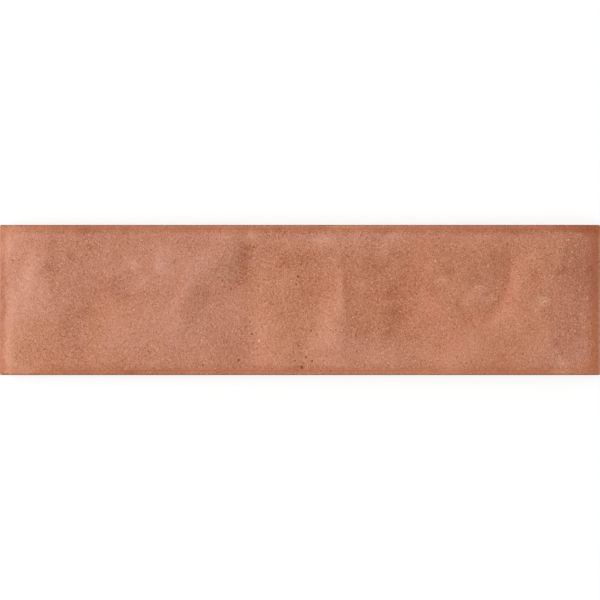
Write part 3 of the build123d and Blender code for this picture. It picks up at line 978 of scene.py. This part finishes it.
def makeGlaze(glaze, mapNames):
    material = emptyMaterial(glaze["name"])
    tree = material.node_tree
    place = addNode(tree, "TexCoord").outputs["Object"]
    maps = {}
    for name in mapNames:
        maps[name] = addNode(tree, "Attribute", attribute_name=name).outputs["Fac"]

    tone, grit = glazeTone(tree, place, maps, glaze)
    ramps = []
    for tones in (glaze["pinkTones"], glaze["ochreTones"], glaze["edgeTones"]):
        ramp = addNode(tree, "ValToRGB", {"Fac": tone})
        ramp.color_ramp.elements.new(0.5)
        for stop, code in zip(ramp.color_ramp.elements, tones):
            stop.color = hexToLinear(code)
        ramps.append(ramp)

    iron = speckMask(tree, place, ironSpecks, 0.0)
    pale = speckMask(tree, place, paleSpecks, speckField["paleShift"])
    # (how it is laid on, where it shows, its colour), from the lowest coat up
    coats = [
        ("MIX", maps["glazeOchre"], ramps[1]),
        ("MIX", maps["glazeThin"], ramps[2]),
        ("MULTIPLY", maps["glazeIron"], glaze["ironWash"]),
        ("MULTIPLY", maps["glazeGrey"], glaze["greyWash"]),
        ("MIX", bloomMask(tree, place, maps, glaze), glaze["bloomTone"]),
        ("MIX", iron, speckField["ironTone"]),
        ("MIX", pale, speckField["paleTone"]),
    ]
    colour = ramps[0]
    for blend, share, coat in coats:
        coatColour = hexToLinear(coat) if isinstance(coat, str) else coat
        # Inputs 6 and 7 and output 2 are the colours of a mix
        mixed = addNode(tree, "Mix", {
            "Factor": share, 6: colour, 7: coatColour}, data_type="RGBA", blend_type=blend)
        colour = mixed.outputs[2]

    addSurface(tree, glaze, colour, grit)
    return material


# Biscuit: the fired red clay of the body, bare on the sides and the back. It is matt and
# dusty, with fine grit in it.
redBiscuit = {
    "name": "firedRedClay",
    "darkTone": "#A9694C",
    "paleTone": "#C98D6E",
    "toneSpan": (0.7, 1.3),  # summed noise levels of the darkest and the palest clay
    "roughness": 0.85,
    "ior": 1.45,
    "grit": 0.5,  # mm
    "gritHeight": 0.03,
    "cloud": 9.0,  # mm across its darker and paler clouds
    "washTone": "#D8C2B0",  # white kiln wash, rubbed onto the ribs where they stood in the kiln
    "washReach": (0.036, 0.12),  # mm above the plane of the ribs: full up to one, gone at the other
    "washPatch": 7.0,  # mm across
    "washSpan": (0.42, 0.6),  # noise levels where a patch of wash begins and is full
    "washShare": 0.6,
}


def makeBiscuit(clay):
    material = emptyMaterial(clay["name"])
    tree = material.node_tree
    place = addNode(tree, "TexCoord").outputs["Object"]
    grit = addNode(tree, "TexNoise", {
        "Vector": place, "Scale": patchScale(clay["grit"]), "Detail": 3.0, "Roughness": 0.7})
    cloud = addNode(tree, "TexNoise", {
        "Vector": place, "Scale": patchScale(clay["cloud"]), "Detail": 4.0, "Roughness": 0.6})
    tone = addNode(tree, "Math", {0: grit, 1: cloud}, operation="ADD")
    spread = addNode(tree, "MapRange", {
        "Value": tone, "From Min": clay["toneSpan"][0], "From Max": clay["toneSpan"][1]})
    colour = addNode(tree, "Mix", {
        "Factor": spread, 6: hexToLinear(clay["darkTone"]), 7: hexToLinear(clay["paleTone"]),
    }, data_type="RGBA")
    height = addNode(tree, "SeparateXYZ", {"Vector": place})
    touched = addNode(tree, "MapRange", {
        "Value": height.outputs["Z"], "To Min": clay["washShare"], "To Max": 0.0,
        "From Min": clay["washReach"][0] * mm, "From Max": clay["washReach"][1] * mm})
    patch = addNode(tree, "TexNoise", {
        "Vector": place, "Scale": patchScale(clay["washPatch"]), "Detail": 8.0, "Roughness": 0.75})
    rubbed = addNode(tree, "MapRange", {
        "Value": patch, "From Min": clay["washSpan"][0], "From Max": clay["washSpan"][1]})
    wash = addNode(tree, "Math", {0: touched, 1: rubbed}, operation="MULTIPLY")
    washed = addNode(tree, "Mix", {
        "Factor": wash, 6: colour.outputs[2], 7: hexToLinear(clay["washTone"])}, data_type="RGBA")
    addSurface(tree, clay, washed.outputs[2], grit)
    return material


def addTile():
    bm = bmesh.new()
    ring = addFace(bm)
    ring, turnLevels = addArris(bm, ring)
    ring = addSides(bm, ring, turnLevels)
    addBack(bm, ring)
    bmesh.ops.recalc_face_normals(bm, faces=bm.faces)
    openEdges = sum(not edge.is_manifold for edge in bm.edges)
    triangles = sum(len(face.verts) - 2 for face in bm.faces)
    print("tile mesh:", triangles, "triangles,", openEdges, "open edges")
    for face in bm.faces:
        face.smooth = True
    mesh = bpy.data.meshes.new("glazedTile")
    bm.to_mesh(mesh)
    bm.free()
    mapNames = storeGlaze(mesh)
    mesh.set_sharp_from_angle(angle=math.radians(tileBody["sharpAngle"]))
    mesh.materials.append(makeGlaze(satinGlaze, mapNames))
    mesh.materials.append(makeBiscuit(redBiscuit))
    tile = bpy.data.objects.new("glazedTile", mesh)
    bpy.context.scene.collection.objects.link(tile)
    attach(tile, "root")
    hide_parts("wall_tile")


addTile()
print("tile made")
